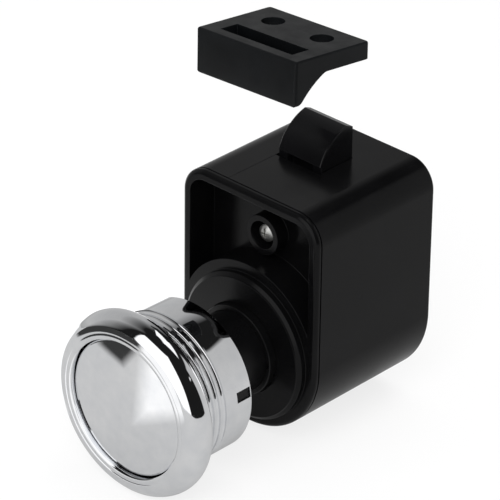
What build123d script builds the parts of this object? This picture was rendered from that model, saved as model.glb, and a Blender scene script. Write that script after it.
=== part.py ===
from build123d import *
import os
from math import sqrt

os.makedirs("parts", exist_ok=True)

# Pushbutton latch for a thick door, in millimetres. The origin is on the button's axis, in the plane
# where the housing's front face meets the door. +X is right, +Y runs into the cabinet, +Z is up.
# The latch is drawn locked: button pushed in, bolt out.

# Door between the rosette's flange and the housing
door_thick = 33.4

# Housing
body_width = 42.0
body_top = 39.7
body_corner = 6.85
wall = 1.5
frame_thick = 1.5
frame_gap = 0.35
frame_edge = 1.1
back_edge = 0.8
fit_gap = 0.1
seam_gap = 0.14

# Pocket in the housing's front and the plate that closes the housing
pocket_rim = 2.4
pocket_depth = 8.0
plate_thick = 2.0
lower_disc_radius = 20.9
bulkhead_thick = 1.6
bulkhead_top = 8.0
guide_wall = 1.6

# Locating spigot, the neck in its middle and the tube that joins the neck to the barrel
spigot_radius = 18.4
spigot_land = 1.4
spigot_height = 2.6
spigot_bevel = 1.7
spigot_root = 0.5
neck_radius = 11.15
neck_front = -4.3
neck_back = 5.5
neck_flange_radius = 14.0
neck_flange_thick = 1.5
neck_edge = 0.35
tube_radius = 9.9
tube_small_radius = 9.0
tube_step = -1.0
tube_back = 7.6
tube_bore = 7.0
notch_radius = 0.9
key_gap = 0.15
key_inset = 0.9
key_end_gap = 0.2

# Rosette: flange and barrel in one piece
barrel_radius = 18.4
barrel_bore = 16.92
barrel_length = 16.0
barrel_chamfer = 0.45
flange_radius = 22.6
flange_height = 7.1
flange_shares = [(0.36, 0), (0.06, 0.17), (0, 0.45), (0.18, 0.75), (0.6, 0.98)]
flange_seat_slope = 0.35
flange_front_slope = 0.12
bead_width = 1.43
bead_inner_drop = 0.92
bead_crest_drop = 0.36
bead_outer_drop = 0.64
groove_radius = 0.62
groove_rise = 0.12
groove_start = 1.15
groove_pitch = 1.9
groove_count = 4
window_angle = 9.2
window_width = 2.6
window_length = 4.2
window_margin = 0.7
lug_inset = 0.5

# Button, its insert, the shaft and the travel
travel = 9.0
button_radius = 16.7
button_sink = 1.2
button_crown = 0.5
button_edge = 0.9
button_wall = 1.35
button_skirt = 12.2
insert_thick = 3.15
insert_web = 1.2
hub_radius = 6.5
hub_length = 6.0
shaft_radius = 4.0
shaft_inset = 0.6
shaft_edge = 0.4
shaft_hole_gap = 0.6
running_gap = 0.05
press_gap = 0.02

# Inner floor of the barrel, its seal, bushes and the return spring
floor_inset = 3.1
floor_thick = 2.4
core_rim = 4.1
core_rim_wall = 1.4
seal_radius = 1.05
seal_lip = 1.0
bush_length = 6.0
clip_ring_thick = 1.0
clip_ring_radius = 10.9
clip_ring_groove = 8.2
clip_mouth = 0.7
spring_radius = 10.5
spring_wire = 1.2
spring_turns = 4

# Bolt, placed from the pin that crosses its fork
bolt_left = -7.9
bolt_right = 5.3
bolt_leg = 2.45
bolt_front_depth = 5.0
bolt_back_depth = 5.3
nose_radius = 11.5
nose_centre_inset = -0.2
nose_drop = 2.2
nose_rise = 1.5
nose_step = 0.5
ridge_inset = 2.1
ridge_drop = 0.9
bolt_edge = 0.35
bolt_foot_drop = 2.6
bolt_web_drop = 3.7
bolt_notch = 2.2
bolt_gap = 0.25
pin_radius = 1.5
pin_z = 18.2

# Slider on the shaft, with the sloping cam slot and the heart track
shaft_step = 3.5
clip_groove = 3.0
clip_seat_depth = 2.6
overtravel = 1.0
bumper_thick = 1.6
bumper_bore = 2.0
bumper_radius = 5.5
slider_radius = 6.5
slider_wing = 10.5
slider_wing_thick = 3.0
slider_foot = -9.5
cam_wall = 2.1
cam_end_wall = 1.7
cam_gap = 0.8
cam_slot_gap = 0.3
rail_gap = 0.3
rail_inset = 0.4
rail_thick = 1.6
rail_inner = 8.6
track_inset = 1.3
track_width = 2.0
track_depth = 1.4
track_side = 3.0
track_overrun = 1.1
track_peak_gap = 0.3
track_shoulder = 0.62
track_foot = 0.8
track_lobe = 0.57
wire_radius = 0.65
wire_drop = 1.4
wire_inset = 0.4
wire_bend = 1.2
wire_end_gap = 0.4
wire_post_radius = 2.1
wire_post_hole = 6.0
wire_post_gap = 0.6
clip_thick = 0.9
clip_reach = 1.7

# Fasteners
screw_hole_gap = 0.25
screw_hole_floor = 0.6
head_gap = 0.2
head_sink = 0.15
recess_depth = 0.9
cross_width = 0.7
cap_screw_radius = 1.5
cap_screw_head = 3.3
cap_screw_length = 9.0
cap_screw_key = 1.4
screw_head_seat = 1.55
plate_screw_length = 7.5
cover_screw_radius = 1.3
cover_screw_head = 2.4
cover_screw_length = 12.0
cover_screw_seat = -12.0
cover_screw_cross = 2.8
screw_boss = 3.2
screw_boss_gap = 1.0
head_height = 1.6
upper_screw_z = 33.2
lower_screw_gap = 1.15
lower_screw_z = -13.4
plate_screw_z = 26.9
plate_screw_head = 2.15
plate_screw_dome = 0.7
plate_screw_cross = 2.4
plate_boss_front = 4.4
plate_boss_radius = 4.9
plate_boss_bore = 3.45

# Keeper, shown lifted off above the bolt and leaning slightly
keeper_width = 32.2
keeper_depth = 22.4
keeper_plate = 4.1
keeper_drop = 10.7
keeper_bulge = 0.35
keeper_hole = 2.75
keeper_hole_spacing = 15.7
keeper_hole_inset = 6.8
keeper_pocket_length = 23.2
keeper_pocket_front = 2.9
keeper_pocket_back = 8.1
keeper_pocket_front_drop = 6.6
keeper_pocket_back_drop = 2.9
keeper_corner = 0.9
keeper_edge = 0.5
keeper_back_edge = 0.8
lip_tip = 1.1
lip_edge = 0.35
lip_corner = 1.2
lip_root = 8.9
lip_hollow = (4.2, -7.3)
lip_blend = 2.5
keeper_place = (-1.45, 0.0, 76.5)
keeper_lean = (-5.6, -5.0, -3.7)


def front_plane(y):
    # Plane across the button's axis at depth y: drawn as seen from the door, with local y upwards.
    return Plane.XZ.offset(-y)


def side_plane(x):
    # Plane across the width at x: local x runs into the cabinet, local y upwards.
    return Plane.YZ.offset(x)


def tombstone(inset):
    # Housing outline: half-round foot about the button's axis, flat top with rounded corners.
    half = body_width / 2 - inset
    with BuildSketch() as outline:
        Circle(half)
        Rectangle(2 * half, body_top - inset, align=(Align.CENTER, Align.MIN))
        fillet(outline.vertices().group_by(Axis.Y)[-1], body_corner - inset)
    return outline.sketch


def turned(points):
    # Closed outline of (radius, y) points for a piece turned about the button's axis.
    with BuildSketch() as outline:
        with BuildLine():
            Polyline(*points, close=True)
        make_face()
    return outline.sketch


def screw_spots():
    # Cover screws as (y, z): two in the top corners, one under the slider.
    front_y = plate_back + screw_boss
    back_y = body_depth - wall - screw_boss - screw_boss_gap
    lower_y = track_y - wire_radius - screw_boss - lower_screw_gap
    return [(front_y, upper_screw_z), (back_y, upper_screw_z), (lower_y, lower_screw_z)]


# Depths along the button's axis, from the door's outer face to the back of the housing
flange_seat = -door_thick
flange_front = flange_seat - flange_height
barrel_back = flange_seat + barrel_length
button_front = flange_front + button_sink
floor_front = barrel_back - floor_inset
seal_seat = floor_front + seal_lip
plate_back = pocket_depth + plate_thick
slot_half = pin_radius + cam_slot_gap
cam_top = pin_z + slot_half + cam_wall
cam_front = plate_back + cam_gap + travel
pin_y = cam_front + cam_end_wall + slot_half
slider_front = tube_back + travel + 3 * running_gap
slider_back = pin_y + travel + slot_half + cam_end_wall
bumper_front = slider_back + overtravel
body_depth = bumper_front + bumper_thick + wall
shaft_back = slider_back - shaft_inset
clip_groove_y = slider_back - clip_seat_depth
clip_groove_back = clip_groove_y + clip_thick + fit_gap
track_y = pin_y - track_inset
wire_back = slider_back - wire_inset
bolt_front = pin_y - bolt_front_depth
bolt_back = pin_y + bolt_back_depth
bolt_foot = pin_z - bolt_foot_drop
bolt_web = body_top - bolt_web_drop
nose_centre_y = bolt_back - nose_centre_inset
nose_centre_z = body_top - nose_drop
nose_foot_z = body_top + nose_rise
nose_foot_y = nose_centre_y - sqrt(nose_radius ** 2 - (nose_foot_z - nose_centre_z) ** 2)
ridge_y = bolt_back - ridge_inset
ridge_z = nose_centre_z + sqrt(nose_radius ** 2 - (nose_centre_y - ridge_y) ** 2)
shell_front = frame_thick + frame_gap
inner_back = body_depth - wall
inner_top = body_top - wall
seam_x = bolt_left - bolt_gap
slot_front = nose_foot_y - 2 * bolt_gap
slot_back = bolt_back + bolt_gap
slot_right = bolt_right + bolt_gap
guide_foot = cam_top + cam_gap
neck_seat = plate_thick + running_gap
bulkhead_front = neck_seat + neck_flange_thick + fit_gap
rail_front = tube_back + rail_inset
plate_boss_back = plate_back + fit_gap
wire_post_top = slider_foot - wire_drop - 2 * wire_radius - wire_post_gap
wire_foot = wire_post_top - wire_post_hole + wire_end_gap
window_centre = barrel_back - window_margin - window_length / 2
core_rim_radius = barrel_bore - fit_gap
core_rim_bore = core_rim_radius - core_rim_wall
lug_radius = barrel_radius - lug_inset
seal_bore = shaft_radius + 2 * seal_radius + 2 * fit_gap
bush_seat = seal_seat + 2 * seal_radius + 3 * fit_gap
insert_front = button_front + button_wall
insert_back = insert_front + insert_thick
insert_radius = button_radius - button_wall - running_gap
hub_back = insert_back + hub_length
shaft_front = insert_front + screw_head_seat + insert_web
clip_outer = shaft_step + clip_reach

# Section of the flange as (radius, y): its rounded outer side from the seat to the front, then the bead
flange_width = flange_radius - barrel_radius
flange_curve = [(flange_radius - flange_width * radius_share, flange_seat - flange_height * height_share)
                for radius_share, height_share in flange_shares]
bead_inner = (barrel_bore, flange_front + bead_inner_drop)
bead_crest = (barrel_bore + bead_width / 2, flange_front + bead_crest_drop)
bead_outer = (barrel_bore + bead_width, flange_front + bead_outer_drop)

# Front plate: frame, recessed pocket, flat lower disc and the round spigot for the door's hole
with BuildPart() as front_plate:
    with BuildSketch(front_plane(0)):
        add(tombstone(0))
    extrude(amount=-frame_thick)
    fillet(front_plate.faces().sort_by(Axis.Y)[0].edges(), frame_edge)
    with BuildSketch(front_plane(frame_thick)):
        add(tombstone(wall + fit_gap))
    extrude(amount=-(plate_thick - frame_thick))
    with BuildSketch(front_plane(frame_thick)):
        add(tombstone(wall + fit_gap))
        with Locations((0, -body_width)):
            Rectangle(2 * body_width, 2 * (body_width + bulkhead_top + 1), mode=Mode.SUBTRACT)
    extrude(amount=-(plate_back - frame_thick))
    with BuildSketch(front_plane(plate_thick)):
        add(tombstone(wall + fit_gap))
        add(tombstone(pocket_rim), mode=Mode.SUBTRACT)
    extrude(amount=-(neck_seat + neck_flange_thick - plate_thick))
    with BuildSketch(front_plane(0)):
        add(tombstone(pocket_rim))
        Circle(lower_disc_radius, mode=Mode.SUBTRACT)
        Rectangle(body_width, 2 * bulkhead_top, mode=Mode.SUBTRACT)
    extrude(amount=-pocket_depth, mode=Mode.SUBTRACT)
    with BuildSketch(front_plane(plate_thick)):
        Circle(lower_disc_radius - plate_thick)
    extrude(amount=-pocket_depth, mode=Mode.SUBTRACT)
    with BuildSketch(front_plane(plate_boss_front)):
        with Locations((0, plate_screw_z)):
            Circle(plate_boss_radius)
    extrude(amount=-(pocket_depth - plate_boss_front))
    with BuildSketch(front_plane(plate_boss_front)):
        with Locations((0, plate_screw_z)):
            Circle(plate_boss_bore)
    extrude(amount=-(pocket_depth - plate_boss_front), mode=Mode.SUBTRACT)
    with BuildSketch():
        add(turned([(0, spigot_root), (spigot_radius, spigot_root), (spigot_radius, -spigot_land),
                    (spigot_radius - spigot_bevel, -spigot_height), (0, -spigot_height)]))
    revolve(axis=Axis.Y)
    with BuildSketch(front_plane(-spigot_height)):
        Circle(neck_radius + fit_gap)
    extrude(amount=-(spigot_height + plate_back), mode=Mode.SUBTRACT)
    with BuildSketch(front_plane(pocket_depth)):
        with Locations((0, plate_screw_z)):
            Circle(cover_screw_radius + screw_hole_gap)
    extrude(amount=-plate_thick, mode=Mode.SUBTRACT)
front_plate.part.label = "front_plate"
export_step(front_plate.part, "parts/front_plate.step")

# Housing before it is parted: shell, bulkhead, rails, bolt guide and the bosses across its width
with BuildPart() as shell:
    # Bosses for the cover screws, from wall to wall
    with BuildSketch(side_plane(-body_width / 2)):
        with Locations(*screw_spots()):
            Circle(screw_boss)
    extrude(amount=body_width)
    with BuildSketch(front_plane(shell_front)):
        add(tombstone(wall / 2))
    extrude(amount=-(inner_back - shell_front), mode=Mode.INTERSECT)
    with BuildSketch(front_plane(shell_front)):
        add(tombstone(0))
        add(tombstone(wall), mode=Mode.SUBTRACT)
    extrude(amount=-(body_depth - shell_front))
    with BuildSketch(front_plane(inner_back)):
        add(tombstone(0))
    extrude(amount=-wall)
    fillet(shell.faces().sort_by(Axis.Y)[-1].edges(), back_edge)
    # Bulkhead that holds the neck's flange against the front plate
    with BuildSketch(front_plane(bulkhead_front)):
        add(tombstone(wall))
        with Locations((0, bulkhead_top + body_width)):
            Rectangle(2 * body_width, 2 * body_width, mode=Mode.SUBTRACT)
        Circle(neck_radius + rail_gap, mode=Mode.SUBTRACT)
    extrude(amount=-bulkhead_thick)
    # Rails above and below the slider's wings
    with BuildSketch(front_plane(rail_front)):
        for level in (-1, 1):
            with Locations((0, level * (slider_wing_thick + rail_thick) / 2 + level * rail_gap)):
                Rectangle(body_width - wall, rail_thick)
        Rectangle(2 * rail_inner, body_width, mode=Mode.SUBTRACT)
    extrude(amount=-(inner_back - rail_front))
    # Bolt guide: a square tube that hangs from the top wall, with a web to the right wall
    with BuildSketch(Plane.XY.offset(guide_foot)):
        with Locations(((seam_x + slot_right) / 2, (slot_front + slot_back) / 2)):
            Rectangle(slot_right - seam_x + 2 * guide_wall, slot_back - slot_front + 2 * guide_wall)
    extrude(amount=inner_top - guide_foot)
    with BuildSketch(front_plane(slot_front - guide_wall)):
        add(tombstone(wall / 2))
        with Locations(((slot_right + body_width / 2) / 2, (guide_foot + body_top) / 2)):
            Rectangle(body_width / 2 - slot_right, body_top - guide_foot, mode=Mode.INTERSECT)
    extrude(amount=-guide_wall)
    with BuildSketch(Plane.XY.offset(guide_foot - 1)):
        with Locations(((seam_x + slot_right) / 2, (slot_front + slot_back) / 2)):
            Rectangle(slot_right - seam_x, slot_back - slot_front)
    extrude(amount=body_top - guide_foot + 2, mode=Mode.SUBTRACT)

# Main shell: the right and larger part, with the plate screw's boss and the post of the follower wire
with BuildPart() as main_shell:
    add(shell.part)
    split(bisect_by=Plane.YZ.offset(seam_x), keep=Keep.TOP)
    with BuildSketch(front_plane(plate_boss_back)):
        with Locations((0, plate_screw_z)):
            Circle(screw_boss)
    extrude(amount=-(slot_front - plate_boss_back))
    with BuildSketch(Plane.XY.offset(wall / 2 - body_width / 2)):
        with Locations((0, wire_back)):
            Circle(wire_post_radius)
    extrude(amount=wire_post_top - wall / 2 + body_width / 2)
    with BuildSketch(front_plane(bumper_front + bumper_thick / 2)):
        Circle(bumper_bore - fit_gap)
    extrude(amount=-(inner_back - bumper_front - bumper_thick / 2))
    with BuildSketch(side_plane(seam_x)):
        with Locations(*screw_spots()):
            Circle(cover_screw_radius + press_gap)
    extrude(amount=cover_screw_length + cover_screw_seat - seam_x + 1, mode=Mode.SUBTRACT)
    with BuildSketch(front_plane(plate_boss_back)):
        with Locations((0, plate_screw_z)):
            Circle(cover_screw_radius + press_gap)
    extrude(amount=-(slot_front - plate_boss_back - screw_hole_floor), mode=Mode.SUBTRACT)
    with BuildSketch(Plane.XY.offset(wire_post_top)):
        with Locations((0, wire_back)):
            Circle(wire_radius + running_gap)
    extrude(amount=-wire_post_hole, mode=Mode.SUBTRACT)
main_shell.part.label = "main_shell"
export_step(main_shell.part, "parts/main_shell.step")

# Side cover: the left part of the housing, with clearance holes and deep seats for its screws
with BuildPart() as side_cover:
    add(shell.part)
    split(bisect_by=Plane.YZ.offset(seam_x - seam_gap), keep=Keep.BOTTOM)
    with BuildSketch(side_plane(seam_x)):
        with Locations(*screw_spots()):
            Circle(cover_screw_radius + screw_hole_gap)
    extrude(amount=-body_width, mode=Mode.SUBTRACT)
    with BuildSketch(side_plane(cover_screw_seat)):
        with Locations(*screw_spots()):
            Circle(cover_screw_head + head_gap)
    extrude(amount=-body_width, mode=Mode.SUBTRACT)
side_cover.part.label = "side_cover"
export_step(side_cover.part, "parts/side_cover.step")

# Neck: the tube in the spigot, held by its flange behind the front plate
with BuildPart() as neck:
    with BuildSketch():
        add(turned([(tube_radius + fit_gap, neck_front), (neck_radius, neck_front), (neck_radius, neck_seat),
                    (neck_flange_radius, neck_seat), (neck_flange_radius, neck_seat + neck_flange_thick),
                    (neck_radius, neck_seat + neck_flange_thick), (neck_radius, neck_back),
                    (tube_small_radius + running_gap, neck_back),
                    (tube_small_radius + running_gap, tube_step + running_gap),
                    (tube_radius + fit_gap, tube_step + running_gap)]))
    revolve(axis=Axis.Y)
    front_circles = neck.edges().filter_by(GeomType.CIRCLE).group_by(Axis.Y)[0]
    fillet(front_circles.sort_by(SortBy.RADIUS)[-1], neck_edge)
    with BuildSketch(front_plane(neck_front)):
        with Locations((tube_radius + fit_gap, 0)):
            Circle(notch_radius)
    extrude(amount=-(tube_step - neck_front), mode=Mode.SUBTRACT)
neck.part.label = "neck"
export_step(neck.part, "parts/neck.step")

# Rosette: the flange that lies on the door and the barrel that passes through it, one chromed casting
with BuildPart() as rosette:
    with BuildSketch():
        with BuildLine():
            Polyline(bead_inner, (barrel_bore, barrel_back), (barrel_radius - barrel_chamfer, barrel_back),
                     (barrel_radius, barrel_back - barrel_chamfer), (barrel_radius, flange_seat),
                     flange_curve[0])
            Spline(*flange_curve, tangents=((1, -flange_seat_slope), (-1, -flange_front_slope)))
            Line(flange_curve[-1], bead_outer)
            ThreePointArc(bead_outer, bead_crest, bead_inner)
        make_face()
    revolve(axis=Axis.Y)
    for ring in range(groove_count):
        with BuildSketch():
            with Locations((barrel_radius + groove_rise, flange_seat + groove_start + ring * groove_pitch)):
                Circle(groove_radius)
        revolve(axis=Axis.Y, mode=Mode.SUBTRACT)
    for turn in (0, 180):
        with BuildSketch(Plane.XY.rotated((0, -window_angle - turn, 0))):
            with Locations((barrel_radius, window_centre)):
                Rectangle(4 * (barrel_radius - barrel_bore), window_length)
        extrude(amount=window_width / 2, both=True, mode=Mode.SUBTRACT)
rosette.part.label = "rosette"
export_step(rosette.part, "parts/rosette.step")

# Barrel core: rim and floor inside the barrel, and the tube that carries the latch to the neck
with BuildPart() as barrel_core:
    with BuildSketch():
        add(turned([(core_rim_bore, floor_front - core_rim), (core_rim_radius, floor_front - core_rim),
                    (core_rim_radius, floor_front + floor_thick), (tube_radius, floor_front + floor_thick),
                    (tube_radius, tube_step), (tube_small_radius, tube_step), (tube_small_radius, tube_back),
                    (tube_bore, tube_back), (tube_bore, bush_seat), (seal_bore, bush_seat),
                    (seal_bore, seal_seat), (shaft_radius + shaft_hole_gap, seal_seat),
                    (shaft_radius + shaft_hole_gap, floor_front), (core_rim_bore, floor_front)]))
    revolve(axis=Axis.Y)
    with BuildSketch(front_plane(neck_back + running_gap)):
        Circle(tube_small_radius)
        Circle(clip_ring_groove, mode=Mode.SUBTRACT)
    extrude(amount=-(clip_ring_thick + running_gap), mode=Mode.SUBTRACT)
    # Key along the tube that sits in the neck's notch
    with BuildSketch(front_plane(neck_front + key_inset)):
        with Locations((tube_radius + fit_gap, 0)):
            Circle(notch_radius - key_gap)
    extrude(amount=-(tube_step - key_end_gap - neck_front - key_inset))
    # Two lugs that snap into the windows of the barrel
    for turn in (0, 180):
        with BuildSketch(Plane.XY.rotated((0, -window_angle - turn, 0))):
            with Locations(((core_rim_bore + lug_radius) / 2, window_centre)):
                Rectangle(lug_radius - core_rim_bore, window_length - 2 * fit_gap)
        extrude(amount=window_width / 2 - fit_gap, both=True)
barrel_core.part.label = "barrel_core"
export_step(barrel_core.part, "parts/barrel_core.step")

# Lock clip: open ring in the tube's groove, behind the neck
with BuildPart() as lock_clip:
    with BuildSketch(front_plane(neck_back + running_gap)):
        Circle(clip_ring_radius)
        Circle(clip_ring_groove + running_gap, mode=Mode.SUBTRACT)
        with Locations((0, -clip_ring_radius)):
            Rectangle(clip_ring_radius * clip_mouth, 2 * clip_ring_radius, mode=Mode.SUBTRACT)
    extrude(amount=-clip_ring_thick)
lock_clip.part.label = "lock_clip"
export_step(lock_clip.part, "parts/lock_clip.step")

# Guide bushes: two plain bearings for the shaft in the core's tube
with BuildPart() as guide_bushes:
    for bush_front in (bush_seat, tube_back - bush_length - fit_gap):
        with BuildSketch(front_plane(bush_front + running_gap)):
            Circle(tube_bore - running_gap)
            Circle(shaft_radius + running_gap, mode=Mode.SUBTRACT)
        extrude(amount=-bush_length)
guide_bushes.part.label = "guide_bushes"
export_step(guide_bushes.part, "parts/guide_bushes.step")

# Shaft seal: round rubber ring between the floor's lip and the front bush
with BuildPart() as shaft_seal:
    with BuildSketch():
        with Locations((shaft_radius + running_gap + seal_radius, seal_seat + fit_gap + seal_radius)):
            Circle(seal_radius)
    revolve(axis=Axis.Y)
shaft_seal.part.label = "shaft_seal"
export_step(shaft_seal.part, "parts/shaft_seal.step")

# Button cap: thin chromed cup with a slightly domed front
with BuildPart() as button_cap:
    with BuildSketch():
        with BuildLine():
            rim_front = button_front + button_crown
            crown_radius = button_radius - button_edge
            edge_cut = button_edge * (1 - sqrt(0.5))
            ThreePointArc((0, button_front), (crown_radius / 2, button_front + button_crown / 4),
                          (crown_radius, rim_front))
            ThreePointArc((crown_radius, rim_front), (button_radius - edge_cut, rim_front + edge_cut),
                          (button_radius, rim_front + button_edge))
            Polyline((button_radius, rim_front + button_edge), (button_radius, button_front + button_skirt),
                     (button_radius - button_wall, button_front + button_skirt),
                     (button_radius - button_wall, button_front + button_wall),
                     (0, button_front + button_wall), (0, button_front))
        make_face()
    revolve(axis=Axis.Y)
button_cap.part.label = "button_cap"
export_step(button_cap.part, "parts/button_cap.step")

# Cap insert: disc behind the cap with the hub that takes the shaft
with BuildPart() as cap_insert:
    with BuildSketch():
        add(turned([(cap_screw_radius + screw_hole_gap, insert_front + screw_head_seat),
                    (cap_screw_head + head_gap, insert_front + screw_head_seat),
                    (cap_screw_head + head_gap, insert_front), (insert_radius, insert_front),
                    (insert_radius, insert_back), (hub_radius, insert_back), (hub_radius, hub_back),
                    (shaft_radius + press_gap, hub_back), (shaft_radius + press_gap, shaft_front),
                    (cap_screw_radius + screw_hole_gap, shaft_front)]))
    revolve(axis=Axis.Y)
cap_insert.part.label = "cap_insert"
export_step(cap_insert.part, "parts/cap_insert.step")

# Cap screw: holds the insert on the shaft
with BuildPart() as cap_screw:
    with BuildSketch(front_plane(insert_front + screw_head_seat)):
        Circle(cap_screw_head)
    extrude(amount=screw_head_seat - head_sink)
    with BuildSketch(front_plane(insert_front + screw_head_seat)):
        Circle(cap_screw_radius)
    extrude(amount=-cap_screw_length)
    with BuildSketch(front_plane(insert_front + head_sink)):
        RegularPolygon(cap_screw_key, 6)
    extrude(amount=-recess_depth, mode=Mode.SUBTRACT)
cap_screw.part.label = "cap_screw"
export_step(cap_screw.part, "parts/cap_screw.step")

# Push shaft: from the button to the slider, stepped down where it enters the slider
with BuildPart() as push_shaft:
    with BuildSketch():
        add(turned([(0, shaft_front), (shaft_radius - shaft_edge, shaft_front),
                    (shaft_radius, shaft_front + shaft_edge), (shaft_radius, slider_front),
                    (shaft_step, slider_front), (shaft_step, clip_groove_y), (clip_groove, clip_groove_y),
                    (clip_groove, clip_groove_back), (shaft_step, clip_groove_back),
                    (shaft_step, shaft_back - shaft_edge), (shaft_step - shaft_edge, shaft_back),
                    (0, shaft_back)]))
    revolve(axis=Axis.Y)
    with BuildSketch(front_plane(shaft_front)):
        Circle(cap_screw_radius + press_gap)
    extrude(amount=-cap_screw_length, mode=Mode.SUBTRACT)
push_shaft.part.label = "push_shaft"
export_step(push_shaft.part, "parts/push_shaft.step")

# Cam slider: sleeve, guide wings, plate with the sloping slot, and the heart-shaped track underneath
with BuildPart() as cam_slider:
    with BuildSketch(front_plane(slider_front)):
        Circle(slider_radius)
        Rectangle(2 * slider_wing, slider_wing_thick)
    extrude(amount=-(slider_back - slider_front))
    with BuildSketch(front_plane(cam_front)):
        with Locations((0, slider_foot / 2)):
            Rectangle(2 * slider_radius, -slider_foot)
    extrude(amount=-(slider_back - cam_front))
    with BuildSketch(side_plane(bolt_left + bolt_leg + cam_slot_gap)):
        with BuildLine():
            Polyline((cam_front, 0), (cam_front, cam_top), (pin_y + slot_half + cam_end_wall, cam_top),
                     (slider_back, cam_top - travel), (slider_back, 0), close=True)
        make_face()
    extrude(amount=bolt_right - bolt_left - 2 * bolt_leg - 2 * cam_slot_gap)
    with BuildSketch(side_plane(bolt_left)):
        with Locations((pin_y + travel / 2, pin_z - travel / 2)):
            SlotCenterToCenter(travel * sqrt(2), 2 * slot_half, rotation=-45)
    extrude(amount=bolt_right - bolt_left, mode=Mode.SUBTRACT)
    with BuildSketch(front_plane(slider_front)):
        Circle(shaft_step + press_gap)
    extrude(amount=-(slider_back - slider_front), mode=Mode.SUBTRACT)
    with BuildSketch(front_plane(slider_back)):
        Circle(clip_outer + cam_slot_gap)
    extrude(amount=clip_seat_depth, mode=Mode.SUBTRACT)
    with BuildSketch(Plane.XY.offset(slider_foot)):
        with BuildLine():
            lobe_x = track_side * track_lobe
            shoulder_y = track_y + travel * track_shoulder
            Polyline((0, track_y + travel + track_peak_gap), (-track_side, shoulder_y),
                     (-track_side, track_y + track_foot), (-lobe_x, track_y - track_overrun), (0, track_y),
                     (lobe_x, track_y - track_overrun), (track_side, track_y + track_foot),
                     (track_side, shoulder_y), close=True)
        trace(line_width=track_width)
    extrude(amount=track_depth, mode=Mode.SUBTRACT)
cam_slider.part.label = "cam_slider"
export_step(cam_slider.part, "parts/cam_slider.step")

# Shaft clip: open ring that keeps the slider against the shaft's step
with BuildPart() as shaft_clip:
    with BuildSketch(front_plane(clip_groove_y + running_gap)):
        Circle(clip_outer)
        Circle(clip_groove + running_gap, mode=Mode.SUBTRACT)
        with Locations((0, -clip_outer)):
            Rectangle(clip_outer * clip_mouth, 2 * clip_outer, mode=Mode.SUBTRACT)
    extrude(amount=-clip_thick)
shaft_clip.part.label = "shaft_clip"
export_step(shaft_clip.part, "parts/shaft_clip.step")

# Return spring: coil between the button's insert and the floor of the barrel
with BuildPart() as return_spring:
    spring_start = insert_back + spring_wire / 2 + running_gap
    spring_height = floor_front - spring_wire / 2 - running_gap - spring_start
    with BuildLine():
        coil = Helix(spring_height / spring_turns, spring_height, spring_radius, center=(0, spring_start, 0),
                     direction=(0, 1, 0))
    with BuildSketch(Plane(origin=coil @ 0, z_dir=coil % 0)):
        Circle(spring_wire / 2)
    sweep(path=coil, is_frenet=True)
return_spring.part.label = "return_spring"
export_step(return_spring.part, "parts/return_spring.step")

# Track wire: springy follower from the post in the shell to the heart-shaped track
with BuildPart() as track_wire:
    with BuildLine():
        run_z = slider_foot - wire_drop
        follower = FilletPolyline((0, track_y, slider_foot + track_depth - wire_end_gap), (0, track_y, run_z),
                                  (0, wire_back, run_z), (0, wire_back, wire_foot), radius=wire_bend)
    with BuildSketch(Plane(origin=follower @ 0, z_dir=follower % 0)):
        Circle(wire_radius)
    sweep(path=follower)
track_wire.part.label = "track_wire"
export_step(track_wire.part, "parts/track_wire.step")

# End bumper: rubber ring on the back wall that stops the slider when the button is pushed too far
with BuildPart() as end_bumper:
    with BuildSketch(front_plane(bumper_front)):
        Circle(bumper_radius)
        Circle(bumper_bore, mode=Mode.SUBTRACT)
    extrude(amount=-bumper_thick)
end_bumper.part.label = "end_bumper"
export_step(end_bumper.part, "parts/end_bumper.step")

# Latch bolt: forked body in the guide and a nose that pulls in over its rounded front
with BuildPart() as latch_bolt:
    with BuildSketch(side_plane(bolt_left)):
        with BuildLine():
            swell = nose_radius * sqrt(0.5)
            Polyline((bolt_back, ridge_z - ridge_drop), (bolt_back, bolt_foot), (bolt_front, bolt_foot),
                     (bolt_front, nose_foot_z - nose_step), (nose_foot_y, nose_foot_z))
            ThreePointArc((nose_foot_y, nose_foot_z), (nose_centre_y - swell, nose_centre_z + swell),
                          (ridge_y, ridge_z))
            Line((ridge_y, ridge_z), (bolt_back, ridge_z - ridge_drop))
        make_face()
    extrude(amount=bolt_right - bolt_left)
    fillet(latch_bolt.faces().filter_by(GeomType.CYLINDER).edges().filter_by(GeomType.CIRCLE), bolt_edge)
    with BuildSketch(side_plane(bolt_left + bolt_leg)):
        with Locations(((bolt_front + bolt_back) / 2, (bolt_foot + bolt_web) / 2)):
            Rectangle(bolt_back - bolt_front, bolt_web - bolt_foot)
        with Locations((bolt_front + bolt_notch / 2, (nose_foot_z - nose_step + bolt_web) / 2)):
            Rectangle(bolt_notch, nose_foot_z - nose_step - bolt_web)
    extrude(amount=bolt_right - bolt_left - 2 * bolt_leg, mode=Mode.SUBTRACT)
    with BuildSketch(side_plane(bolt_left)):
        with Locations((pin_y, pin_z)):
            Circle(pin_radius + press_gap)
    extrude(amount=bolt_right - bolt_left, mode=Mode.SUBTRACT)
latch_bolt.part.label = "latch_bolt"
export_step(latch_bolt.part, "parts/latch_bolt.step")

# Bolt pin: crosses the fork and rides in the slider's slot
with BuildPart() as bolt_pin:
    with BuildSketch(side_plane(bolt_left + fit_gap)):
        with Locations((pin_y, pin_z)):
            Circle(pin_radius)
    extrude(amount=bolt_right - bolt_left - 2 * fit_gap)
bolt_pin.part.label = "bolt_pin"
export_step(bolt_pin.part, "parts/bolt_pin.step")

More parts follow.
